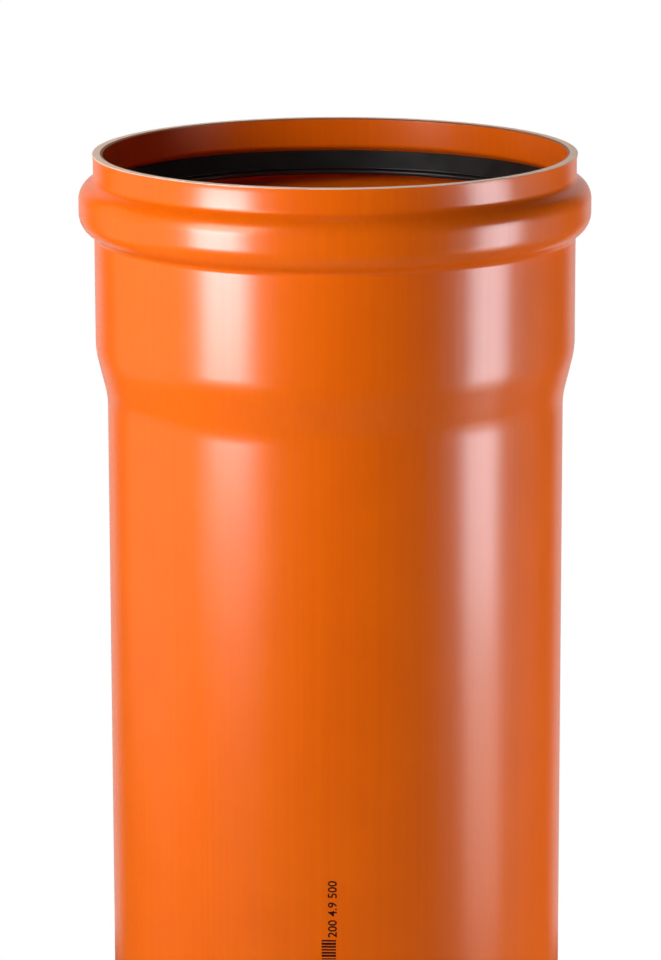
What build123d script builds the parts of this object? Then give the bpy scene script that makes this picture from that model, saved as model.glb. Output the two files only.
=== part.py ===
"""Sewer pipe of orange PVC-U with a belled socket and a black rubber lip seal.

The pipe stands on its plain end, the spigot, with its axis along +Z and the origin at the centre
of the spigot's end face. Its belled end, the socket, is at the top. Depths in the socket are
measured down from the mouth, along the axis.
"""

import os
from math import cos, radians, sin, sqrt, tan

from build123d import *

# Barrel: the extruded tube
barrel_diameter = 200.0
barrel_wall = 4.9
laying_length = 500.0  # from the spigot's end to the depth at which the next pipe's end stops

# Spigot: the plain end, cut with a long bevel outside so that it enters a seal
bevel_length = 9.0
bevel_angle = 15.0

# Socket: the belled end, formed hot over a mandrel
socket_clearance = 0.3  # radial gap round a spigot that stands in the socket
socket_wall = 4.7
socket_length = 86.3  # from the mouth to the start of the taper, measured outside
taper_angle = 13.6
taper_blend = 35.0

# Mouth: the short collar above the bead, opened a little wider than the socket
mouth_clearance = 1.0  # radial gap round a spigot that stands in the collar
mouth_wall = 4.25
mouth_flare = 0.5
mouth_flare_length = 2.5
mouth_lead_in = 1.1
mouth_lead_in_height = 0.5
collar_length = 10.6

# Bead: the hollow ring that holds the seal, seen outside as a rounded band
bead_height = 6.7  # how far the crown stands out from the socket
bead_wall = 4.5
bead_length = 25.3  # along the axis, where it rises from the collar to where it meets the socket
bead_upper_angle = 51.0
bead_lower_angle = 51.0
bead_upper_shoulder = 8.9
bead_lower_shoulder = 10.1
collar_root = 3.0  # hollow blend between collar and bead

# Seal: one rubber ring with a heel in the groove and a free lip that leans into the socket.
# Its lengths run along the axis, down from the ring's top edge.
seal_clearance = 0.3  # between the heel and the wall of the groove
seal_setback = 1.8  # from the edge where the collar opens into the groove to the ring's top
seal_length = 11.4  # down to the heel's foot, which stays behind the lip in a view from the mouth
lip_length = 10.5  # down to the lip's rim
slot_start = 5.7  # down to where the lip parts from the heel
heel_thickness = 3.2
lip_thickness = 2.4
lip_interference = 3.0  # how far the lip's rim stands inside a spigot's surface
rim_height = 2.1  # the blunt rim at the lip's end
rim_bevel = 0.7
rim_step = 0.8  # how far the lip's face stands back from the rim
rim_nick_depth = 0.6
rim_nick_width = 0.7

sharp = 0.0  # a corner without a blend

# Derived radii
barrel_radius = barrel_diameter / 2
barrel_bore_radius = barrel_radius - barrel_wall
spigot_tip_radius = barrel_radius - bevel_length * tan(radians(bevel_angle))
socket_bore_radius = barrel_radius + socket_clearance
socket_radius = socket_bore_radius + socket_wall
mouth_bore_radius = barrel_radius + mouth_clearance
mouth_radius = mouth_bore_radius + mouth_wall
bead_radius = socket_radius + bead_height
groove_radius = bead_radius - bead_wall

# Derived depths below the mouth. The taper's two faces are parallel, a wall apart.
taper_slope = tan(radians(taper_angle))
taper_end_depth = socket_length + (socket_radius - barrel_radius) / taper_slope
corner_shift = tan(radians(taper_angle / 2))
taper_bore_start_depth = socket_length - socket_wall * corner_shift
taper_bore_end_depth = (
    taper_bore_start_depth + (socket_bore_radius - barrel_bore_radius) / taper_slope
)
stop_depth = (
    taper_bore_start_depth + (socket_bore_radius - spigot_tip_radius) / taper_slope
)
overall_length = laying_length + stop_depth

# Derived places on the bead. Its flanks are straight, so each is a point and a slope.
upper_slope = tan(radians(bead_upper_angle))
lower_slope = tan(radians(bead_lower_angle))
bead_end_depth = collar_length + bead_length
crown_start_depth = collar_length + (bead_radius - mouth_radius) / upper_slope
crown_end_depth = bead_end_depth - (bead_radius - socket_radius) / lower_slope
upper_wall_shift = bead_wall / sin(radians(bead_upper_angle))
lower_wall_shift = bead_wall / sin(radians(bead_lower_angle))
groove_upper_blend = bead_upper_shoulder - bead_wall
groove_lower_blend = bead_lower_shoulder - bead_wall


def ceiling_depth(radius, inset=0.0):
    """Depth of the groove's upper flank at a radius, or of a line an inset below it."""
    shift = upper_wall_shift + inset / sin(radians(bead_upper_angle))
    return collar_length + shift + (radius - mouth_radius) / upper_slope


def floor_depth(radius, inset=0.0):
    """Depth of the groove's lower flank at a radius, or of a line an inset above it."""
    shift = lower_wall_shift + inset / sin(radians(bead_lower_angle))
    return bead_end_depth - shift - (radius - socket_radius) / lower_slope


def wall_section(corners):
    """Half section in the XZ plane, from corners given as (radius, depth, blend radius)."""
    points = [(radius, overall_length - depth) for radius, depth, _ in corners]
    blends = [blend for _, _, blend in corners]
    return Plane.XZ * make_face(FilletPolyline(*points, radius=blends, close=True))


def make_pipe():
    """The pipe: barrel, bevelled spigot, taper, socket, bead and mouth in one wall."""
    outside = [
        (spigot_tip_radius, overall_length, sharp),
        (barrel_radius, overall_length - bevel_length, sharp),
        (barrel_radius, taper_end_depth, taper_blend),
        (socket_radius, socket_length, taper_blend),
        (socket_radius, bead_end_depth, sharp),
        (bead_radius, crown_end_depth, bead_lower_shoulder),
        (bead_radius, crown_start_depth, bead_upper_shoulder),
        (mouth_radius, collar_length, collar_root),
        (mouth_radius, mouth_flare_length, sharp),
        (mouth_radius + mouth_flare, 0.0, sharp),
    ]
    inside = [
        (mouth_bore_radius + mouth_lead_in, 0.0, sharp),
        (mouth_bore_radius, mouth_lead_in_height, sharp),
        (mouth_bore_radius, ceiling_depth(mouth_bore_radius), sharp),
        (groove_radius, ceiling_depth(groove_radius), groove_upper_blend),
        (groove_radius, floor_depth(groove_radius), groove_lower_blend),
        (socket_bore_radius, floor_depth(socket_bore_radius), sharp),
        (socket_bore_radius, taper_bore_start_depth, taper_blend),
        (barrel_bore_radius, taper_bore_end_depth, taper_blend),
        (barrel_bore_radius, overall_length, sharp),
    ]
    return revolve(wall_section(outside + inside), Axis.Z)


def make_seal_ring():
    """The seal: a heel shaped to the groove, and a lip that ends in a blunt rim."""
    heel_radius = groove_radius - seal_clearance
    heel_inner_radius = heel_radius - heel_thickness
    top_depth = ceiling_depth(mouth_bore_radius) + seal_setback
    top_drop = ceiling_depth(heel_radius, seal_clearance) - top_depth
    top_radius = heel_radius - top_drop * upper_slope
    foot_depth = top_depth + seal_length
    slot_depth = top_depth + slot_start

    rim_radius = barrel_radius - lip_interference
    rim_bottom_depth = top_depth + lip_length
    rim_top_depth = rim_bottom_depth - rim_height

    # The lip's two faces are parallel, a lip thickness apart
    face_bottom_radius = rim_radius + rim_step
    face_bottom_depth = rim_top_depth - rim_nick_width
    lean = (top_radius - face_bottom_radius) / (face_bottom_depth - top_depth)
    back_shift = lip_thickness * sqrt(1 + lean**2)

    def back_radius(depth):
        """Radius of the lip's back face at a depth."""
        return face_bottom_radius + back_shift - (depth - face_bottom_depth) * lean

    rim_back_radius = back_radius(rim_top_depth)
    heel = [
        (top_radius, top_depth, sharp),
        (bead_radius, top_depth, sharp),
        (bead_radius, foot_depth, sharp),
        (heel_inner_radius, foot_depth, sharp),
        (heel_inner_radius, slot_depth, sharp),
    ]
    lip = [
        (back_radius(slot_depth), slot_depth, sharp),
        (rim_back_radius, rim_top_depth, sharp),
        (rim_back_radius, rim_bottom_depth - rim_bevel, sharp),
        (rim_back_radius - rim_bevel, rim_bottom_depth, sharp),
        (rim_radius + rim_bevel, rim_bottom_depth, sharp),
        (rim_radius, rim_bottom_depth - rim_bevel, sharp),
        (rim_radius, rim_top_depth + rim_bevel, sharp),
        (rim_radius + rim_bevel, rim_top_depth, sharp),
        (face_bottom_radius + rim_nick_depth, rim_top_depth, sharp),
        (face_bottom_radius, face_bottom_depth, sharp),
    ]
    # What the groove leaves free, carried on inwards past the lip. Its shoulders are bevels that
    # start where the groove's round corners do, and so clear them.
    upper_bevel = (groove_upper_blend - seal_clearance) * tan(radians(bead_upper_angle / 2))
    lower_bevel = (groove_lower_blend - seal_clearance) * tan(radians(bead_lower_angle / 2))
    upper_radius = heel_radius - upper_bevel * sin(radians(bead_upper_angle))
    lower_radius = heel_radius - lower_bevel * sin(radians(bead_lower_angle))
    room = [
        (upper_radius, ceiling_depth(upper_radius, seal_clearance), sharp),
        (heel_radius, ceiling_depth(heel_radius, seal_clearance) + upper_bevel, sharp),
        (heel_radius, floor_depth(heel_radius, seal_clearance) - lower_bevel, sharp),
        (lower_radius, floor_depth(lower_radius, seal_clearance), sharp),
        (barrel_bore_radius, floor_depth(barrel_bore_radius, seal_clearance), sharp),
        (barrel_bore_radius, ceiling_depth(barrel_bore_radius, seal_clearance), sharp),
    ]
    return revolve(wall_section(heel + lip) & wall_section(room), Axis.Z)


os.makedirs("parts", exist_ok=True)
export_step(make_pipe(), "parts/pipe.step")
export_step(make_seal_ring(), "parts/seal_ring.step")
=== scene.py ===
"""Looks of a sewer pipe: orange PVC-U with a belled socket, a black lip seal and a printed line.

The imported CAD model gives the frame. Pipe and seal are turned again here from the same sizes,
smoother, and with the small round edges that the solids leave out. Sizes are in millimetres and
depths are measured down from the mouth, as a pipe maker gives them. Meshes are in metres.
"""

import logging
import math
from dataclasses import dataclass, field
from enum import Enum
from typing import Any, NamedTuple, Optional, Sequence

import bpy
from mathutils import Matrix, Vector


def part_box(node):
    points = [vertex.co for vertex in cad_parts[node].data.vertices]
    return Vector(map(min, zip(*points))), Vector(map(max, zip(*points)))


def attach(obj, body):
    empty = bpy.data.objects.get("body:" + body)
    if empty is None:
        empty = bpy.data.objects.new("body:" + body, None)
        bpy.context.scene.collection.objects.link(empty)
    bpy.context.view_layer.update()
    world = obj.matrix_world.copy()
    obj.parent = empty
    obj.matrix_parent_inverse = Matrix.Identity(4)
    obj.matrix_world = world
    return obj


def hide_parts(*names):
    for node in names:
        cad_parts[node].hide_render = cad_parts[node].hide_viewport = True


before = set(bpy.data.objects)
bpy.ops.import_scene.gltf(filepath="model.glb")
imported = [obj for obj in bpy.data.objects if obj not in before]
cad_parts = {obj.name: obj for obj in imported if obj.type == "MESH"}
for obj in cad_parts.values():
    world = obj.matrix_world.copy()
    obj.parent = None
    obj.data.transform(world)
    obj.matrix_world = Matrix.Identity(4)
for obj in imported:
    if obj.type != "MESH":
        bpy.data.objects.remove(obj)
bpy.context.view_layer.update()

log = logging.getLogger("sewer_pipe")

MM = 0.001  # metres in a millimetre
COLD_LIGHT = "#DCF0FF"  # daylight, which the photograph's highlights show


def linear(hex_colour: str) -> tuple[float, ...]:
    """Turns an sRGB colour to the linear RGBA that shaders take.

    Args:
        hex_colour: The colour as #RRGGBB.

    Returns:
        Red, green, blue and alpha, each from 0 to 1.
    """
    channels = [int(hex_colour[i : i + 2], 16) / 255 for i in (1, 3, 5)]
    return (*(c / 12.92 if c <= 0.04045 else ((c + 0.055) / 1.055) ** 2.4 for c in channels), 1.0)


def add_node(
    tree: bpy.types.NodeTree, kind: str, inputs: Optional[dict[Any, Any]] = None, **settings: Any
) -> bpy.types.Node:
    """Adds one node to a tree, with its settings and links.

    Args:
        tree: The tree that gets the node.
        kind: Blender's name for the kind of node.
        inputs: A value, or an output to link, for each input that is named or numbered.
        settings: The node's own properties.

    Returns:
        The new node.
    """
    node = tree.nodes.new(kind)
    for name, value in settings.items():
        setattr(node, name, value)
    for key, value in (inputs or {}).items():
        if isinstance(value, bpy.types.NodeSocket):
            tree.links.new(value, node.inputs[key])
        else:
            node.inputs[key].default_value = value
    return node


def new_material(name: str) -> bpy.types.Material:
    """Makes an empty node material.

    Args:
        name: The material's name.

    Returns:
        The material, with no node in its tree.
    """
    material = bpy.data.materials.new(name)
    material.use_nodes = True
    material.node_tree.nodes.clear()
    return material


def noise(
    tree: bpy.types.NodeTree, place: bpy.types.NodeSocket, size: float, detail: float
) -> bpy.types.NodeSocket:
    """Adds a noise whose grains have a real size.

    Args:
        tree: The tree that gets it.
        place: The coordinates that it reads, in metres.
        size: The size of its grains, in millimetres.
        detail: How many finer layers it has.

    Returns:
        Its value, from 0 to 1.
    """
    inputs = {"Vector": place, "Scale": 1 / (size * MM), "Detail": detail}
    return add_node(tree, "ShaderNodeTexNoise", inputs).outputs[0]


def blend(
    tree: bpy.types.NodeTree, share: bpy.types.NodeSocket, first: str, second: str
) -> bpy.types.NodeSocket:
    """Adds a blend of two colours.

    Args:
        tree: The tree that gets it.
        share: How much of the second colour it has.
        first: The first colour as #RRGGBB.
        second: The second colour as #RRGGBB.

    Returns:
        The blended colour.
    """
    inputs = {0: share, 6: linear(first), 7: linear(second)}
    return add_node(tree, "ShaderNodeMix", inputs, data_type="RGBA").outputs[2]


def spread_about(
    tree: bpy.types.NodeTree, value: bpy.types.NodeSocket, middle: float, spread: float
) -> bpy.types.NodeSocket:
    """Turns the usual range of a noise, 0.3 to 0.7, to a range about a middle.

    Args:
        tree: The tree that gets the node.
        value: The noise.
        middle: The middle of the new range.
        spread: The width of the new range.

    Returns:
        The new value.
    """
    inputs = {
        "Value": value,
        "From Min": 0.3,
        "From Max": 0.7,
        "To Min": middle - spread / 2,
        "To Max": middle + spread / 2,
    }
    return add_node(tree, "ShaderNodeMapRange", inputs).outputs[0]


def relief(
    tree: bpy.types.NodeTree,
    shape: bpy.types.NodeSocket,
    height: float,
    over: Optional[bpy.types.NodeSocket] = None,
) -> bpy.types.NodeSocket:
    """Adds a bump of a real height.

    Args:
        tree: The tree that gets it.
        shape: The bump's shape, from 0 to 1.
        height: How high it stands, in millimetres.
        over: The relief that it lies on, if there is one.

    Returns:
        The normal.
    """
    inputs = {"Height": shape, "Distance": height * MM}
    if over:
        inputs["Normal"] = over
    return add_node(tree, "ShaderNodeBump", inputs).outputs[0]


def close_material(material: bpy.types.Material, inputs: dict[str, Any]) -> bpy.types.Material:
    """Ends a material's tree with the shader.

    Args:
        material: The material.
        inputs: A value, or an output to link, for each of the shader's inputs that is set.

    Returns:
        The same material.
    """
    tree = material.node_tree
    shader = add_node(tree, "ShaderNodeBsdfPrincipled", inputs)
    add_node(tree, "ShaderNodeOutputMaterial", {"Surface": shader.outputs[0]})
    return material


@dataclass(frozen=True)
class ExtrudedPvc:
    """PVC-U, extruded through a die: a glossy skin that is drawn out along the pipe.

    The die leaves faint lines along the axis, which fray the edges of a reflection, and the
    calibration sleeve leaves a fine orange peel that softens it.
    """

    name: str = "extruded_pvc_u_skin"
    colour: str = "#E46402"
    colour_deep: str = "#DD5D02"
    ior: float = 1.53
    roughness: float = 0.24
    roughness_spread: float = 0.05
    die_line_pitch: float = 2.2
    die_line_length: float = 260.0
    die_line_height: float = 0.007
    peel_size: float = 1.3
    peel_height: float = 0.004
    mottle_size: float = 28.0

    def material(self) -> bpy.types.Material:
        """Builds the skin's material."""
        made = new_material(self.name)
        tree = made.node_tree
        place = add_node(tree, "ShaderNodeTexCoord").outputs["Object"]
        stretch = self.die_line_pitch / self.die_line_length
        drawn = add_node(tree, "ShaderNodeMapping", {"Vector": place, "Scale": (1, 1, stretch)})
        lines = noise(tree, drawn.outputs[0], self.die_line_pitch, detail=2.0)
        peel = noise(tree, place, self.peel_size, detail=1.0)
        mottle = noise(tree, place, self.mottle_size, detail=3.0)
        streak = add_node(tree, "ShaderNodeMath", {0: mottle, 1: lines}, operation="ADD")
        shade = add_node(
            tree,
            "ShaderNodeMapRange",
            {"Value": streak.outputs[0], "From Min": 0.6, "From Max": 1.4},
        )
        peeled = relief(tree, peel, self.peel_height)
        inputs = {
            "Base Color": blend(tree, shade.outputs[0], self.colour, self.colour_deep),
            "Roughness": spread_about(tree, lines, self.roughness, self.roughness_spread),
            "IOR": self.ior,
            "Normal": relief(tree, lines, self.die_line_height, over=peeled),
        }
        return close_material(made, inputs)


@dataclass(frozen=True)
class CutWall:
    """The wall where it was sawn, at both ends: a matt beige core between two orange skins.

    The core is lighter and duller than the skins, so the end reads as a pale ring with a thin brown line
    along each edge, and the saw leaves it slightly rough. That brown is the skins' orange darkened by
    painted shade, for the shadowed burr and lead-in along the edges.
    """

    mouth: tuple[float, float]  # the wall's inner and outer radius there
    spigot: tuple[float, float]  # the same at the foot
    name: str = "sawn_pvc_u_core"
    core_colour: str = "#F8D8C2"
    core_colour_deep: str = "#EDC9B1"
    # the skins' orange, darkened as painted shade along the sawn edges and over the lead-in
    skin_and_shade_colour: str = "#99562C"
    inner_skin: float = 1.3  # wider than the outer one, because the lead-in cuts it at a slant
    outer_skin: float = 0.24
    skin_fade: float = 0.3
    ior: float = 1.53
    roughness: float = 0.5
    sheen: float = 0.2  # the saw opens the foam, which leaves little surface to shine
    grain_size: float = 0.7
    grain_height: float = 0.03

    def _core_share(
        self, tree: bpy.types.NodeTree, radius: bpy.types.NodeSocket, inner: float, outer: float
    ) -> bpy.types.NodeSocket:
        """Tells core from skin in one end's wall.

        Args:
            tree: The material's tree.
            radius: The distance from the pipe's axis.
            inner: The wall's inner radius.
            outer: The wall's outer radius.

        Returns:
            1 in the core and 0 in the skins and outside this wall.
        """
        inside, outside = (
            add_node(
                tree,
                "ShaderNodeMapRange",
                {
                    "Value": radius,
                    "From Min": (edge + inward * (skin - self.skin_fade)) * MM,
                    "From Max": (edge + inward * skin) * MM,
                },
            ).outputs[0]
            for edge, inward, skin in ((inner, 1, self.inner_skin), (outer, -1, self.outer_skin))
        )
        both = add_node(tree, "ShaderNodeMath", {0: inside, 1: outside}, operation="MULTIPLY")
        return both.outputs[0]

    def material(self) -> bpy.types.Material:
        """Builds the cut wall's material."""
        made = new_material(self.name)
        tree = made.node_tree
        place = add_node(tree, "ShaderNodeTexCoord").outputs["Object"]
        flat = add_node(tree, "ShaderNodeVectorMath", {0: place, 1: (1, 1, 0)}, operation="MULTIPLY")
        radius = add_node(tree, "ShaderNodeVectorMath", {0: flat.outputs[0]}, operation="LENGTH")
        grain = noise(tree, place, self.grain_size, detail=3.0)
        at_mouth, at_spigot = (
            self._core_share(tree, radius.outputs["Value"], *wall)
            for wall in (self.mouth, self.spigot)
        )
        between = add_node(tree, "ShaderNodeMath", {0: at_mouth, 1: at_spigot}, operation="MAXIMUM")
        colour = add_node(
            tree,
            "ShaderNodeMix",
            {
                0: between.outputs[0],
                6: linear(self.skin_and_shade_colour),
                7: blend(tree, grain, self.core_colour, self.core_colour_deep),
            },
            data_type="RGBA",
        )
        inputs = {
            "Base Color": colour.outputs[2],
            "Roughness": self.roughness,
            "IOR": self.ior,
            "Specular IOR Level": self.sheen,
            "Normal": relief(tree, grain, self.grain_height),
        }
        return close_material(made, inputs)


@dataclass(frozen=True)
class MouldedRubber:
    """SBR rubber, moulded and wiped with a thin film of lubricant: black with a soft sheen."""

    name: str = "moulded_sbr_rubber"
    colour: str = "#151313"
    colour_worn: str = "#1C1919"
    ior: float = 1.52
    roughness: float = 0.36
    roughness_spread: float = 0.12
    cloud_size: float = 9.0
    grain_size: float = 0.6
    grain_height: float = 0.012

    def material(self) -> bpy.types.Material:
        """Builds the rubber's material."""
        made = new_material(self.name)
        tree = made.node_tree
        place = add_node(tree, "ShaderNodeTexCoord").outputs["Object"]
        clouds = noise(tree, place, self.cloud_size, detail=3.0)
        grain = noise(tree, place, self.grain_size, detail=2.0)
        inputs = {
            "Base Color": blend(tree, clouds, self.colour, self.colour_worn),
            "Roughness": spread_about(tree, clouds, self.roughness, self.roughness_spread),
            "IOR": self.ior,
            "Normal": relief(tree, grain, self.grain_height),
        }
        return close_material(made, inputs)


@dataclass(frozen=True)
class MarkingInk:
    """Solvent ink, sprayed on by a marking head: thin, dark brown and uneven over the skin."""

    name: str = "sprayed_marking_ink"
    colour: str = "#140402"
    colour_thin: str = "#3A1206"
    roughness: float = 0.5
    sheen: float = 0.15  # the pigment dries dull
    blot_size: float = 0.5

    def material(self) -> bpy.types.Material:
        """Builds the ink's material."""
        made = new_material(self.name)
        tree = made.node_tree
        place = add_node(tree, "ShaderNodeTexCoord").outputs["Object"]
        blots = noise(tree, place, self.blot_size, detail=2.0)
        inputs = {
            "Base Color": blend(tree, blots, self.colour, self.colour_thin),
            "Roughness": self.roughness,
            "Specular IOR Level": self.sheen,
        }
        return close_material(made, inputs)


class Corner(NamedTuple):
    """A corner of a half section: its radius, its depth below the mouth and its round blend."""

    radius: float
    depth: float
    blend: float = 0.0


def rounded(corners: Sequence[Corner], chord_error: float = 0.004) -> list[Vector]:
    """Rounds the corners of a closed half section.

    Args:
        corners: The section's corners in order.
        chord_error: How far a chord may lie from its arc, which sets how finely it is divided.

    Returns:
        The section's points as (radius, depth).
    """
    points = []
    count = len(corners)
    for i, corner in enumerate(corners):
        here = Vector((corner.radius, corner.depth))
        if not corner.blend:
            points.append(here)
            continue
        before = corners[i - 1]
        after = corners[(i + 1) % count]
        into = (here - Vector((before.radius, before.depth))).normalized()
        away = (Vector((after.radius, after.depth)) - here).normalized()
        turn = math.atan2(into.cross(away), into.dot(away))
        inward = Vector((-into.y, into.x)) * math.copysign(1, turn)
        tangent = corner.blend * math.tan(abs(turn) / 2)
        centre = here - into * tangent + inward * corner.blend
        steps = math.ceil(abs(turn) / (2 * math.acos(1 - chord_error / corner.blend)))
        for step in range(steps + 1):
            points.append(centre - Matrix.Rotation(turn * step / steps, 2) @ inward * corner.blend)
    return points


class Lathe:
    """Turns closed half sections about the pipe's axis with one Geometry Nodes tree."""

    def __init__(self, overall_length: float, segments: int = 256) -> None:
        """Builds the tree.

        Args:
            overall_length: The height of the mouth above the spigot's end.
            segments: How many facets a turned ring has.
        """
        self.overall_length = overall_length
        self.segments = segments
        self.path_radius = 0.1  # metres, and only a place to measure the section from
        self.crease = math.radians(40)  # edges that turn by more stay sharp
        self.level = 0.21  # a normal that rises by more is not that of an upright face
        self.tree = self._build_tree()

    def _build_tree(self) -> bpy.types.NodeTree:
        """Builds the tree that sweeps a section round a circle and dresses its faces."""
        tree = bpy.data.node_groups.new("turned_section", "GeometryNodeTree")
        for name, kind in (
            ("Section", "NodeSocketObject"),
            ("Segments", "NodeSocketInt"),
            ("Path radius", "NodeSocketFloat"),
            ("Upper cut", "NodeSocketFloat"),
            ("Lower cut", "NodeSocketFloat"),
            ("Crease", "NodeSocketFloat"),
            ("Skin", "NodeSocketMaterial"),
            ("Cut wall", "NodeSocketMaterial"),
        ):
            tree.interface.new_socket(name, in_out="INPUT", socket_type=kind)
        tree.interface.new_socket("Mesh", in_out="OUTPUT", socket_type="NodeSocketGeometry")
        given = add_node(tree, "NodeGroupInput").outputs
        section = add_node(tree, "GeometryNodeObjectInfo", {"Object": given["Section"]})
        circle = add_node(
            tree,
            "GeometryNodeCurvePrimitiveCircle",
            {"Resolution": given["Segments"], "Radius": given["Path radius"]},
        )
        swept = add_node(
            tree,
            "GeometryNodeCurveToMesh",
            {"Curve": circle.outputs[0], "Profile Curve": section.outputs["Geometry"]},
        )
        smooth = add_node(tree, "GeometryNodeSetShadeSmooth", {"Geometry": swept.outputs[0]})
        angle = add_node(tree, "GeometryNodeInputMeshEdgeAngle")
        sharp = add_node(
            tree,
            "FunctionNodeCompare",
            {0: angle.outputs[0], 1: given["Crease"]},
            operation="GREATER_THAN",
        )
        creased = add_node(
            tree,
            "GeometryNodeSetShadeSmooth",
            {"Geometry": smooth.outputs[0], "Selection": sharp.outputs[0], "Shade Smooth": False},
            domain="EDGE",
        )
        height = add_node(
            tree,
            "ShaderNodeSeparateXYZ",
            {0: add_node(tree, "GeometryNodeInputPosition").outputs[0]},
        ).outputs[2]
        facing = add_node(
            tree,
            "ShaderNodeSeparateXYZ",
            {0: add_node(tree, "GeometryNodeInputNormal").outputs[0]},
        ).outputs[2]
        steep = add_node(tree, "ShaderNodeMath", {0: facing}, operation="ABSOLUTE")
        level = add_node(
            tree, "FunctionNodeCompare", {0: steep.outputs[0], 1: self.level}, operation="GREATER_THAN"
        )
        above = add_node(
            tree, "FunctionNodeCompare", {0: height, 1: given["Upper cut"]}, operation="GREATER_THAN"
        )
        below = add_node(
            tree, "FunctionNodeCompare", {0: height, 1: given["Lower cut"]}, operation="LESS_THAN"
        )
        ends = add_node(
            tree,
            "FunctionNodeBooleanMath",
            {0: above.outputs[0], 1: below.outputs[0]},
            operation="OR",
        )
        sawn = add_node(
            tree,
            "FunctionNodeBooleanMath",
            {0: level.outputs[0], 1: ends.outputs[0]},
            operation="AND",
        )
        real = add_node(tree, "GeometryNodeRealizeInstances", {"Geometry": creased.outputs[0]})
        skinned = add_node(
            tree,
            "GeometryNodeSetMaterial",
            {"Geometry": real.outputs[0], "Material": given["Skin"]},
        )
        dressed = add_node(
            tree,
            "GeometryNodeSetMaterial",
            {
                "Geometry": skinned.outputs[0],
                "Selection": sawn.outputs[0],
                "Material": given["Cut wall"],
            },
        )
        add_node(tree, "NodeGroupOutput", {0: dressed.outputs[0]})
        return tree

    def _section(self, name: str, corners: Sequence[Corner]) -> bpy.types.Object:
        """Draws a section as a closed curve, its radius along X and its height along -Y.

        Args:
            name: The name of the piece that the section is for.
            corners: The section's corners, in either direction.

        Returns:
            The curve, in metres and measured from the path's radius.
        """
        points = rounded(corners)
        area = sum(points[i - 1].cross(point) for i, point in enumerate(points))
        if area < 0:  # the sweep turns its faces outwards only for this direction
            points.reverse()
        curve = bpy.data.curves.new(f"{name}_section", "CURVE")
        curve.dimensions = "3D"
        spline = curve.splines.new("POLY")
        spline.points.add(len(points) - 1)
        for point, (radius, depth) in zip(spline.points, points):
            height = (self.overall_length - depth) * MM
            point.co = (radius * MM - self.path_radius, -height, 0, 1)
        spline.use_cyclic_u = True
        return bpy.data.objects.new(f"{name}_section", curve)

    def turn(
        self,
        name: str,
        corners: Sequence[Corner],
        skin: bpy.types.Material,
        cut_wall: Optional[bpy.types.Material] = None,
        upper_cut: float = 0.0,
        lower_cut: float = 0.0,
    ) -> bpy.types.Object:
        """Turns a section into a plain mesh object.

        Args:
            name: The piece's name.
            corners: The corners of its half section.
            skin: The material of its faces.
            cut_wall: The material of the faces at its ends that aren't upright, if it has such.
            upper_cut: How deep below the mouth the upper end's faces reach.
            lower_cut: How high above the foot the lower end's faces reach.

        Returns:
            The piece, at the origin.
        """
        section = self._section(name, corners)
        values = {
            "Section": section,
            "Segments": self.segments,
            "Path radius": self.path_radius,
            "Upper cut": (self.overall_length - upper_cut) * MM,
            "Lower cut": lower_cut * MM,
            "Crease": self.crease,
            "Skin": skin,
            "Cut wall": cut_wall or skin,
        }
        piece = bpy.data.objects.new(name, bpy.data.meshes.new(name))
        bpy.context.scene.collection.objects.link(piece)
        freeze(piece, self.tree, values)
        bpy.data.objects.remove(section)
        return piece


def freeze(piece: bpy.types.Object, tree: bpy.types.NodeTree, values: dict[str, Any]) -> None:
    """Runs a Geometry Nodes tree on a piece and keeps what it makes as the piece's plain mesh.

    Args:
        piece: The object that gets the mesh.
        tree: The tree.
        values: A value for each of the tree's named inputs.
    """
    modifier = piece.modifiers.new(tree.name, "NODES")
    modifier.node_group = tree
    for socket in tree.interface.items_tree:
        if socket.in_out == "INPUT":
            modifier[socket.identifier] = values[socket.name]
    weighted = piece.modifiers.new("weighted_normals", "WEIGHTED_NORMAL")
    weighted.keep_sharp = True
    depsgraph = bpy.context.evaluated_depsgraph_get()
    mesh = bpy.data.meshes.new_from_object(piece.evaluated_get(depsgraph))
    mesh.name = piece.name
    piece.modifiers.clear()
    piece.data = mesh


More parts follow.
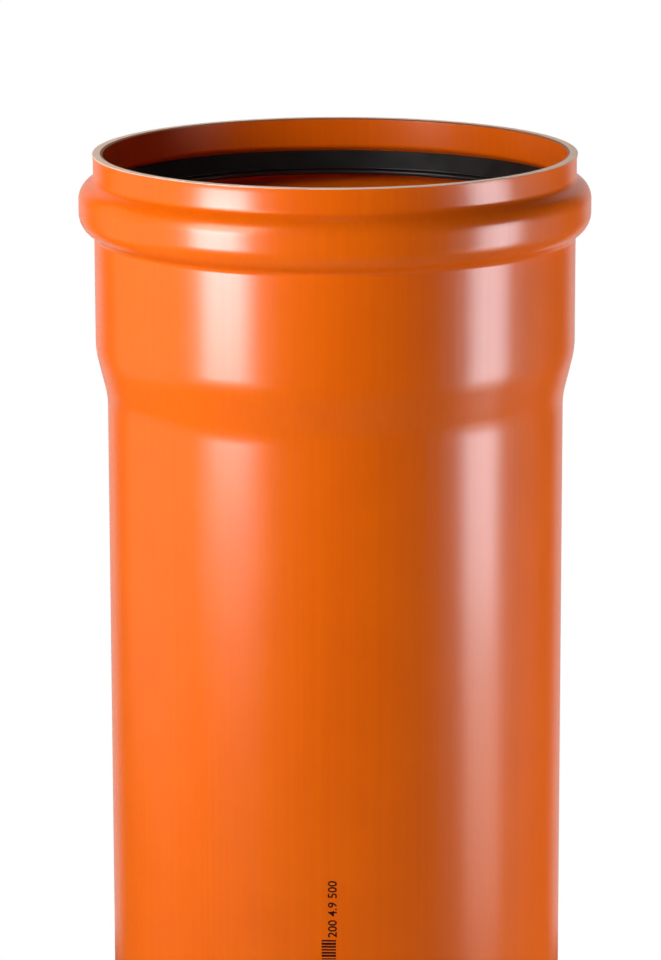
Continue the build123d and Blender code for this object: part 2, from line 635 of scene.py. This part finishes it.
@dataclass
class BelledPipe:
    """The pipe: one wall with a bevelled spigot, barrel, taper, socket, seal bead and mouth."""

    overall_length: float
    barrel_radius: float = 100.0
    barrel_wall: float = 4.9
    bevel_length: float = 9.0
    bevel_angle: float = 15.0
    socket_bore_radius: float = 100.3
    socket_wall: float = 4.7
    socket_length: float = 86.3
    taper_angle: float = 13.6
    taper_blend: float = 35.0
    mouth_bore_radius: float = 101.0
    mouth_wall: float = 4.25
    mouth_flare: float = 0.5
    mouth_flare_length: float = 2.5
    mouth_lead_in: float = 1.1
    mouth_lead_in_height: float = 0.5
    collar_length: float = 10.6
    collar_root: float = 3.0
    bead_height: float = 6.7
    bead_wall: float = 4.5
    bead_length: float = 25.3
    bead_upper_angle: float = 51.0
    bead_lower_angle: float = 51.0
    bead_upper_shoulder: float = 8.9
    bead_lower_shoulder: float = 10.1
    bead_root: float = 3.0
    groove_edge: float = 2.4
    sawn_edge: float = 0.25
    rim_edge: float = 0.45

    @property
    def mouth_radius(self) -> float:
        """Outside radius of the mouth below its flare."""
        return self.mouth_bore_radius + self.mouth_wall

    @property
    def groove_radius(self) -> float:
        """Radius of the groove inside the bead."""
        return self.socket_bore_radius + self.socket_wall + self.bead_height - self.bead_wall

    @property
    def bead_end(self) -> float:
        """Depth at which the bead meets the socket outside."""
        return self.collar_length + self.bead_length

    def ceiling_depth(self, radius: float, inset: float = 0.0) -> float:
        """Depth of the groove's upper flank, or of a line below it.

        Args:
            radius: Where the depth is taken.
            inset: How far the line lies from the flank.

        Returns:
            The depth below the mouth.
        """
        angle = math.radians(self.bead_upper_angle)
        shift = (self.bead_wall + inset) / math.sin(angle)
        return self.collar_length + shift + (radius - self.mouth_radius) / math.tan(angle)

    def floor_depth(self, radius: float) -> float:
        """Depth of the groove's lower flank.

        Args:
            radius: Where the depth is taken.

        Returns:
            The depth below the mouth.
        """
        angle = math.radians(self.bead_lower_angle)
        socket_radius = self.socket_bore_radius + self.socket_wall
        drop = (radius - socket_radius) / math.tan(angle)
        return self.bead_end - self.bead_wall / math.sin(angle) - drop

    def outside(self) -> list[Corner]:
        """Corners of the wall's outside, from the spigot's end up to the mouth."""
        slope = math.tan(math.radians(self.taper_angle))
        socket_radius = self.socket_bore_radius + self.socket_wall
        bead_radius = socket_radius + self.bead_height
        tip_radius = self.barrel_radius - self.bevel_length * math.tan(math.radians(self.bevel_angle))
        taper_end = self.socket_length + (socket_radius - self.barrel_radius) / slope
        upper_rise = (bead_radius - self.mouth_radius) / math.tan(math.radians(self.bead_upper_angle))
        lower_rise = self.bead_height / math.tan(math.radians(self.bead_lower_angle))
        return [
            Corner(tip_radius, self.overall_length, self.sawn_edge),
            Corner(self.barrel_radius, self.overall_length - self.bevel_length, self.sawn_edge),
            Corner(self.barrel_radius, taper_end, self.taper_blend),
            Corner(socket_radius, self.socket_length, self.taper_blend),
            Corner(socket_radius, self.bead_end, self.bead_root),
            Corner(bead_radius, self.bead_end - lower_rise, self.bead_lower_shoulder),
            Corner(bead_radius, self.collar_length + upper_rise, self.bead_upper_shoulder),
            Corner(self.mouth_radius, self.collar_length, self.collar_root),
            Corner(self.mouth_radius, self.mouth_flare_length),
            Corner(self.mouth_radius + self.mouth_flare, 0.0, self.rim_edge),
        ]

    def inside(self) -> list[Corner]:
        """Corners of the wall's inside, from the mouth down to the spigot's end."""
        slope = math.tan(math.radians(self.taper_angle))
        bore_radius = self.barrel_radius - self.barrel_wall
        shift = self.socket_wall * math.tan(math.radians(self.taper_angle / 2))
        taper_start = self.socket_length - shift
        taper_end = taper_start + (self.socket_bore_radius - bore_radius) / slope
        shoulders = (
            self.bead_upper_shoulder - self.bead_wall,
            self.bead_lower_shoulder - self.bead_wall,
        )
        opening = self.mouth_bore_radius
        groove = self.groove_radius
        bore = self.socket_bore_radius
        return [
            Corner(opening + self.mouth_lead_in, 0.0, self.sawn_edge),
            Corner(opening, self.mouth_lead_in_height, self.sawn_edge),
            Corner(opening, self.ceiling_depth(opening), self.groove_edge),
            Corner(groove, self.ceiling_depth(groove), shoulders[0]),
            Corner(groove, self.floor_depth(groove), shoulders[1]),
            Corner(bore, self.floor_depth(bore), self.groove_edge),
            Corner(bore, taper_start, self.taper_blend),
            Corner(bore_radius, taper_end, self.taper_blend),
            Corner(bore_radius, self.overall_length, self.sawn_edge),
        ]

    def build(self, lathe: Lathe) -> bpy.types.Object:
        """Turns the wall, dresses it and hangs it on the frame.

        Args:
            lathe: What turns the section.

        Returns:
            The pipe.
        """
        cut = CutWall(
            mouth=(self.mouth_bore_radius, self.mouth_radius + self.mouth_flare),
            spigot=(self.barrel_radius - self.barrel_wall, self.barrel_radius),
        )
        margin = self.rim_edge
        piece = lathe.turn(
            "pipe_wall",
            self.outside() + self.inside(),
            ExtrudedPvc().material(),
            cut.material(),
            upper_cut=self.mouth_lead_in_height + margin,
            lower_cut=self.bevel_length + margin,
        )
        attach(piece, "root")
        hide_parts("pipe")
        return piece


@dataclass
class SealRing:
    """The seal: a heel in the bead's groove, and a lip that ends in a blunt rim."""

    pipe: BelledPipe
    clearance: float = 0.3
    setback: float = 1.8
    length: float = 11.4
    lip_length: float = 10.5
    slot_start: float = 5.7
    heel_thickness: float = 3.2
    lip_thickness: float = 2.4
    lip_interference: float = 3.0
    rim_height: float = 2.1
    rim_round: float = 0.8
    rim_step: float = 0.8
    rim_nick_depth: float = 0.6
    rim_nick_width: float = 0.7
    moulded_edge: float = 0.4

    def corners(self) -> list[Corner]:
        """Corners of the seal's half section, from its top edge round the heel to the lip."""
        pipe = self.pipe
        angle = math.radians(pipe.bead_upper_angle)
        heel_radius = pipe.groove_radius - self.clearance
        top = pipe.ceiling_depth(pipe.mouth_bore_radius) + self.setback
        crown = pipe.ceiling_depth(heel_radius, self.clearance)
        top_radius = heel_radius - (crown - top) * math.tan(angle)
        shoulder = pipe.bead_upper_shoulder - pipe.bead_wall - self.clearance
        foot = top + self.length
        slot = top + self.slot_start
        inner = heel_radius - self.heel_thickness

        rim_radius = pipe.barrel_radius - self.lip_interference
        rim_bottom = top + self.lip_length
        rim_top = rim_bottom - self.rim_height
        face_radius = rim_radius + self.rim_step
        face_bottom = rim_top - self.rim_nick_width
        lean = (top_radius - face_radius) / (face_bottom - top)
        behind = face_radius + self.lip_thickness * math.sqrt(1 + lean**2)
        slot_radius = behind - (slot - face_bottom) * lean
        back_radius = behind - (rim_top - face_bottom) * lean
        edge = self.moulded_edge
        return [
            Corner(top_radius, top, edge),
            Corner(heel_radius, crown, shoulder),
            Corner(heel_radius, foot, edge),
            Corner(inner, foot, edge),
            Corner(inner, slot),
            Corner(slot_radius, slot),
            Corner(back_radius, rim_top),
            Corner(back_radius, rim_bottom, self.rim_round),
            Corner(rim_radius, rim_bottom, self.rim_round),
            Corner(rim_radius, rim_top, self.rim_round),
            Corner(face_radius + self.rim_nick_depth, rim_top),
            Corner(face_radius, face_bottom, edge),
        ]

    def build(self, lathe: Lathe) -> bpy.types.Object:
        """Turns the seal, dresses it and hangs it on the frame.

        Args:
            lathe: What turns the section.

        Returns:
            The seal.
        """
        piece = lathe.turn("lip_seal", self.corners(), MouldedRubber().material())
        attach(piece, "root")
        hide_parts("seal_ring")
        return piece


class Side(Enum):
    """A side of the pipe, as the turn about its axis from the front, in radians."""

    FRONT = 0.0
    BACK = math.pi


@dataclass
class MarkingLine:
    """The line of print along the barrel: plain digits and a block of plain bars.

    It reads upwards along the axis. The digits give outside diameter, wall and laying length.
    """

    barrel_radius: float
    overall_length: float
    side: Side = Side.FRONT
    digits: str = "200 4.9 500"
    digit_size: float = 5.35
    digit_spacing: float = 1.0
    digit_weight: float = 0.07
    digit_base: float = 0.0
    top_depth: float = 299.8
    length: float = 25.9
    bar_count: int = 24
    bar_pitch: float = 1.35
    bar_width: float = 0.7
    bar_length: float = 6.2
    bar_centre: float = -3.4
    ink: float = 0.03  # thickness
    weld: float = 0.004
    curve_steps: int = 4
    bar_steps: int = 8  # so that a bar follows the barrel
    seed: int = 7

    def _digits(self, ink: bpy.types.Material) -> bpy.types.Object:
        """Sets the digits flat, and makes them a mesh that reads along X.

        Args:
            ink: What they are printed with.

        Returns:
            The digits, not yet in the scene.
        """
        text = bpy.data.curves.new("marking_digits", "FONT")
        text.materials.append(ink)
        text.body = self.digits
        text.size = self.digit_size * MM
        text.space_character = self.digit_spacing
        text.offset = self.digit_weight * MM
        text.extrude = self.ink * MM
        text.resolution_u = self.curve_steps
        flat = bpy.data.objects.new("marking_digits", text)
        bpy.context.scene.collection.objects.link(flat)
        depsgraph = bpy.context.evaluated_depsgraph_get()
        mesh = bpy.data.meshes.new_from_object(flat.evaluated_get(depsgraph))
        bpy.data.objects.remove(flat)
        return bpy.data.objects.new("marking_digits", mesh)

    def _tree(self) -> bpy.types.NodeTree:
        """Builds the tree that lays out digits and bars and wraps them round the barrel."""
        tree = bpy.data.node_groups.new("marking_line", "GeometryNodeTree")
        for name, kind in (
            ("Digits", "NodeSocketObject"),
            ("Digit place", "NodeSocketVector"),
            ("Bars", "NodeSocketInt"),
            ("Bar size", "NodeSocketVector"),
            ("Bar start", "NodeSocketVector"),
            ("Bar step", "NodeSocketVector"),
            ("Seed", "NodeSocketInt"),
            ("Radius", "NodeSocketFloat"),
            ("Turn", "NodeSocketFloat"),
            ("Ink", "NodeSocketMaterial"),
        ):
            tree.interface.new_socket(name, in_out="INPUT", socket_type=kind)
        tree.interface.new_socket("Mesh", in_out="OUTPUT", socket_type="NodeSocketGeometry")
        given = add_node(tree, "NodeGroupInput").outputs
        digits = add_node(tree, "GeometryNodeObjectInfo", {"Object": given["Digits"]})
        upright = add_node(
            tree,
            "GeometryNodeTransform",
            {
                "Geometry": digits.outputs["Geometry"],
                "Translation": given["Digit place"],
                "Rotation": (0, 0, math.pi / 2),
            },
        )
        line = add_node(
            tree,
            "GeometryNodeMeshLine",
            {
                "Count": given["Bars"],
                "Start Location": given["Bar start"],
                "Offset": given["Bar step"],
            },
        )
        bar = add_node(
            tree, "GeometryNodeMeshCube", {"Size": given["Bar size"], "Vertices X": self.bar_steps + 1}
        )
        width = add_node(
            tree,
            "FunctionNodeRandomValue",
            {0: (1, 0.5, 1), 1: (1, 1.5, 1), "Seed": given["Seed"]},
            data_type="FLOAT_VECTOR",
        )
        bars = add_node(
            tree,
            "GeometryNodeInstanceOnPoints",
            {"Points": line.outputs[0], "Instance": bar.outputs[0], "Scale": width.outputs[0]},
        )
        both = add_node(tree, "GeometryNodeJoinGeometry", {0: upright.outputs[0]})
        tree.links.new(bars.outputs[0], both.inputs[0])
        real = add_node(tree, "GeometryNodeRealizeInstances", {"Geometry": both.outputs[0]})
        welded = add_node(
            tree,
            "GeometryNodeMergeByDistance",
            {"Geometry": real.outputs[0], "Distance": self.weld * MM},
        )
        flat = add_node(
            tree,
            "ShaderNodeSeparateXYZ",
            {0: add_node(tree, "GeometryNodeInputPosition").outputs[0]},
        ).outputs
        radius = add_node(
            tree, "ShaderNodeMath", {0: given["Radius"], 1: flat[2]}, operation="ADD"
        ).outputs[0]
        angle = add_node(
            tree, "ShaderNodeMath", {0: flat[0], 1: given["Radius"]}, operation="DIVIDE"
        ).outputs[0]
        turned = add_node(
            tree, "ShaderNodeMath", {0: angle, 1: given["Turn"]}, operation="ADD"
        ).outputs[0]
        across, toward = (
            add_node(
                tree,
                "ShaderNodeMath",
                {0: radius, 1: add_node(tree, "ShaderNodeMath", {0: turned}, operation=wave).outputs[0]},
                operation="MULTIPLY",
            ).outputs[0]
            for wave in ("SINE", "COSINE")
        )
        away = add_node(tree, "ShaderNodeMath", {0: toward, 1: -1.0}, operation="MULTIPLY")
        wrapped = add_node(
            tree, "ShaderNodeCombineXYZ", {0: across, 1: away.outputs[0], 2: flat[1]}
        )
        placed = add_node(
            tree,
            "GeometryNodeSetPosition",
            {"Geometry": welded.outputs[0], "Position": wrapped.outputs[0]},
        )
        inked = add_node(
            tree,
            "GeometryNodeSetMaterial",
            {"Geometry": placed.outputs[0], "Material": given["Ink"]},
        )
        add_node(tree, "NodeGroupOutput", {0: inked.outputs[0]})
        return tree

    def build(self) -> bpy.types.Object:
        """Prints the line on the barrel and hangs it on the frame."""
        ink = MarkingInk().material()
        digits = self._digits(ink)
        foot = (self.overall_length - self.top_depth - self.length) * MM
        values = {
            "Digits": digits,
            "Digit place": (self.digit_base * MM, foot, 0.0),
            "Bars": self.bar_count,
            "Bar size": (self.bar_length * MM, self.bar_width * MM, 2 * self.ink * MM),
            "Bar start": (self.bar_centre * MM, foot - self.bar_pitch * MM, 0.0),
            "Bar step": (0.0, -self.bar_pitch * MM, 0.0),
            "Seed": self.seed,
            "Radius": self.barrel_radius * MM,
            "Turn": self.side.value,
            "Ink": ink,
        }
        piece = bpy.data.objects.new("marking_line", bpy.data.meshes.new("marking_line"))
        bpy.context.scene.collection.objects.link(piece)
        freeze(piece, self._tree(), values)
        piece.data.materials.clear()
        piece.data.materials.append(ink)
        bpy.data.objects.remove(digits)
        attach(piece, "root")
        return piece


class Reach(Enum):
    """What a lamp does to the object: it lights it, or it shows in its gloss."""

    LIGHT = "light"
    GLOSS = "gloss"


@dataclass(frozen=True)
class Softbox:
    """A rectangular lamp that stands round the object's axis and faces it. Sizes in metres.

    Azimuth 0 is at the camera's side and 90 degrees to its right. A tilt turns it downwards.
    """

    name: str
    azimuth: float
    distance: float
    low: float
    high: float
    width: float
    radiance: float
    reach: Reach
    tilt: float = 0.0
    colour: str = "#FFFFFF"

    def build(self) -> bpy.types.Object:
        """Makes the lamp, which only its light and its reflections show."""
        length = self.high - self.low
        lamp = bpy.data.lights.new(self.name, "AREA")
        lamp.shape = "RECTANGLE"
        lamp.size = self.width
        lamp.size_y = length
        lamp.energy = self.radiance * math.pi * self.width * length
        lamp.color = linear(self.colour)[:3]
        turn = math.radians(self.azimuth)
        box = bpy.data.objects.new(self.name, lamp)
        box.location = (
            self.distance * math.sin(turn),
            -self.distance * math.cos(turn),
            (self.low + self.high) / 2,
        )
        box.rotation_euler = (math.radians(90 - self.tilt), 0, turn)
        box.visible_camera = False
        box.visible_glossy = self.reach is Reach.GLOSS
        box.visible_diffuse = self.reach is Reach.LIGHT
        bpy.context.scene.collection.objects.link(box)
        return box


@dataclass
class Studio:
    """Pale floor, white surroundings and soft boxes at a plain level. Sizes in metres."""

    floor_radius: float = 0.76
    floor_clear: float = 0.36
    floor_faded: float = 0.93  # share of the radius at which it has gone white
    floor_veil: float = 0.35  # how much of that white the middle has
    floor_sides: int = 96
    floor_colour: str = "#D6D6D6"
    floor_in_gloss: str = "#4A4A4A"
    ambient: float = 0.03
    mirror_back: float = 0.6
    mirror_dark: float = 0.02
    mirror_half_angle: float = 27.0
    mirror_fade: float = 1.4  # times the half angle, at which it has gone dark
    softboxes: tuple[Softbox, ...] = field(
        default_factory=lambda: (
            Softbox(
                "key_light",
                azimuth=-50.0, distance=0.9, low=0.4, high=1.1, width=0.4,
                radiance=13.7, reach=Reach.LIGHT,
            ),
            Softbox(
                "key_shine",
                azimuth=-50.5, distance=0.9, low=0.37, high=0.72, width=0.37,
                radiance=18.0, reach=Reach.GLOSS, colour=COLD_LIGHT,
            ),
            Softbox(
                "key_shine_top",
                azimuth=-50.5, distance=0.9, low=0.72, high=1.3, width=0.5,
                radiance=6.5, reach=Reach.GLOSS,
            ),
            Softbox(
                "key_shine_middle",
                azimuth=-50.5, distance=0.9, low=0.3, high=0.37, width=0.34,
                radiance=6.5, reach=Reach.GLOSS, colour=COLD_LIGHT,
            ),
            Softbox(
                "key_shine_foot",
                azimuth=-51.0, distance=0.9, low=0.22, high=0.3, width=0.6,
                radiance=2.2, reach=Reach.GLOSS,
            ),
            Softbox(
                "side_light",
                azimuth=65.0, distance=1.0, low=0.0, high=0.6, width=0.4,
                radiance=4.9, reach=Reach.LIGHT,
            ),
            Softbox(
                "side_light_rear",
                azimuth=106.0, distance=1.0, low=0.0, high=0.6, width=0.45,
                radiance=7.0, reach=Reach.LIGHT,
            ),
            Softbox(
                "side_shine",
                azimuth=74.0, distance=0.9, low=0.2, high=0.75, width=0.33,
                radiance=10.4, reach=Reach.GLOSS, colour=COLD_LIGHT,
            ),
            Softbox(
                "side_shine_foot",
                azimuth=76.0, distance=0.9, low=0.0, high=0.2, width=0.35,
                radiance=3.0, reach=Reach.GLOSS,
            ),
            Softbox(
                "left_light",
                azimuth=-95.0, distance=1.0, low=0.0, high=0.6, width=0.4,
                radiance=2.3, reach=Reach.LIGHT,
            ),
            Softbox(
                "left_shine",
                azimuth=-100.0, distance=1.2, low=0.0, high=1.2, width=1.2,
                radiance=0.32, reach=Reach.GLOSS,
            ),
            Softbox(
                "back_light",
                azimuth=180.0, distance=1.6, low=0.3, high=1.3, width=1.4,
                radiance=1.4, reach=Reach.LIGHT,
            ),
            Softbox(
                "rim_light",
                azimuth=-170.0, distance=1.2, low=1.2, high=2.0, width=1.4,
                radiance=3.4, reach=Reach.LIGHT, tilt=45.0,
            ),
        )
    )

    def _floor(self) -> bpy.types.Object:
        """Lays a disc that keeps the object's shadow and fades to white towards its edge."""
        made = new_material("matt_white_floor")
        tree = made.node_tree
        place = add_node(tree, "ShaderNodeTexCoord").outputs["Object"]
        radius = add_node(tree, "ShaderNodeVectorMath", {0: place}, operation="LENGTH")
        fade = add_node(
            tree,
            "ShaderNodeMapRange",
            {
                "Value": radius.outputs["Value"],
                "From Min": self.floor_clear,
                "From Max": self.floor_radius * self.floor_faded,
                "To Min": self.floor_veil,
            },
            interpolation_type="SMOOTHSTEP",
        )
        ray = add_node(tree, "ShaderNodeLightPath").outputs
        seen = add_node(
            tree,
            "ShaderNodeMath",
            {0: ray["Is Camera Ray"], 1: ray["Is Transmission Ray"]},
            operation="MAXIMUM",
        )
        white = add_node(
            tree, "ShaderNodeMath", {0: seen.outputs[0], 1: fade.outputs[0]}, operation="MULTIPLY"
        )
        tone = add_node(
            tree,
            "ShaderNodeMix",
            {
                0: ray["Is Glossy Ray"],
                6: linear(self.floor_colour),
                7: linear(self.floor_in_gloss),
            },
            data_type="RGBA",
        )
        paint = add_node(tree, "ShaderNodeBsdfDiffuse", {"Color": tone.outputs[2]})
        glow = add_node(tree, "ShaderNodeEmission", {"Color": (1, 1, 1, 1), "Strength": 1.0})
        mixed = add_node(
            tree,
            "ShaderNodeMixShader",
            {0: white.outputs[0], 1: paint.outputs[0], 2: glow.outputs[0]},
        )
        add_node(tree, "ShaderNodeOutputMaterial", {"Surface": mixed.outputs[0]})
        rim = [
            (
                self.floor_radius * math.cos(2 * math.pi * i / self.floor_sides),
                self.floor_radius * math.sin(2 * math.pi * i / self.floor_sides),
                0.0,
            )
            for i in range(self.floor_sides)
        ]
        mesh = bpy.data.meshes.new("floor")
        mesh.from_pydata(rim, [], [list(range(self.floor_sides))])
        mesh.materials.append(made)
        floor = bpy.data.objects.new("floor", mesh)
        bpy.context.scene.collection.objects.link(floor)
        return floor

    def _world(self) -> bpy.types.World:
        """White to the camera, a pale sector behind the object in reflections, soft ambient."""
        world = bpy.data.worlds.new("studio")
        world.use_nodes = True
        tree = world.node_tree
        tree.nodes.clear()
        toward = add_node(tree, "ShaderNodeTexCoord").outputs["Generated"]
        flat = add_node(
            tree, "ShaderNodeVectorMath", {0: toward, 1: (1, 1, 0)}, operation="MULTIPLY"
        )
        level = add_node(tree, "ShaderNodeVectorMath", {0: flat.outputs[0]}, operation="NORMALIZE")
        behind = add_node(
            tree,
            "ShaderNodeVectorMath",
            {0: level.outputs[0], 1: (0, 1, 0)},
            operation="DOT_PRODUCT",
        )
        sector = add_node(
            tree,
            "ShaderNodeMapRange",
            {
                "Value": behind.outputs["Value"],
                "From Min": math.cos(math.radians(self.mirror_half_angle * self.mirror_fade)),
                "From Max": math.cos(math.radians(self.mirror_half_angle)),
                "To Min": self.mirror_dark,
                "To Max": self.mirror_back,
            },
        )
        ray = add_node(tree, "ShaderNodeLightPath").outputs
        seen = add_node(
            tree,
            "ShaderNodeMath",
            {0: ray["Is Camera Ray"], 1: ray["Is Transmission Ray"]},
            operation="MAXIMUM",
        )
        soft = add_node(tree, "ShaderNodeBackground", {"Strength": self.ambient})
        mirrored = add_node(tree, "ShaderNodeBackground", {"Strength": sector.outputs[0]})
        white = add_node(tree, "ShaderNodeBackground", {"Strength": 1.0})
        for background in (soft, mirrored, white):
            background.inputs["Color"].default_value = (1, 1, 1, 1)
        lit = add_node(
            tree,
            "ShaderNodeMixShader",
            {0: ray["Is Glossy Ray"], 1: soft.outputs[0], 2: mirrored.outputs[0]},
        )
        shown = add_node(
            tree,
            "ShaderNodeMixShader",
            {0: seen.outputs[0], 1: lit.outputs[0], 2: white.outputs[0]},
        )
        add_node(tree, "ShaderNodeOutputWorld", {"Surface": shown.outputs[0]})
        world.cycles.sampling_method = "NONE"
        bpy.context.scene.world = world
        return world

    def build(self) -> None:
        """Builds floor, surroundings and soft boxes."""
        self._floor()
        self._world()
        for softbox in self.softboxes:
            softbox.build()
        bpy.context.scene.view_settings.view_transform = "Standard"


@dataclass
class ProductCamera:
    """A long lens in front of the pipe that looks down on its mouth. Sizes in millimetres."""

    mouth_height: float
    lens: float = 173.87
    aside: float = -2.2
    distance: float = 2000.0
    rise: float = 298.97
    pitch: float = 12.56
    roll: float = -0.0023  # radians

    def build(self) -> bpy.types.Object:
        """Sets up the camera and makes it the scene's own."""
        data = bpy.data.cameras.new("product_camera")
        data.lens = self.lens
        data.clip_end = 100.0
        camera = bpy.data.objects.new("product_camera", data)
        place = Vector((self.aside, -self.distance, self.mouth_height + self.rise)) * MM
        tilt = Matrix.Rotation(math.radians(90 - self.pitch), 4, "X")
        camera.matrix_world = (
            Matrix.Translation(place) @ tilt @ Matrix.Rotation(self.roll, 4, "Z")
        )
        bpy.context.scene.collection.objects.link(camera)
        bpy.context.scene.camera = camera
        return camera


def report(piece: bpy.types.Object) -> None:
    """Logs a finished piece's faces and materials.

    Args:
        piece: The piece.
    """
    finishes = ", ".join(m.name for m in piece.data.materials if m)
    log.info("%s: %d faces, %s", piece.name, len(piece.data.polygons), finishes)


def main() -> None:
    """Builds studio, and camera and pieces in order."""
    logging.basicConfig(level=logging.INFO, format="%(name)s: %(message)s")
    overall_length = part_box("pipe")[1].z / MM
    ProductCamera(overall_length).build()
    Studio().build()
    lathe = Lathe(overall_length)
    pipe = BelledPipe(overall_length)
    report(pipe.build(lathe))
    report(SealRing(pipe).build(lathe))
    report(MarkingLine(pipe.barrel_radius, overall_length).build())


if __name__ == "__main__":
    main()
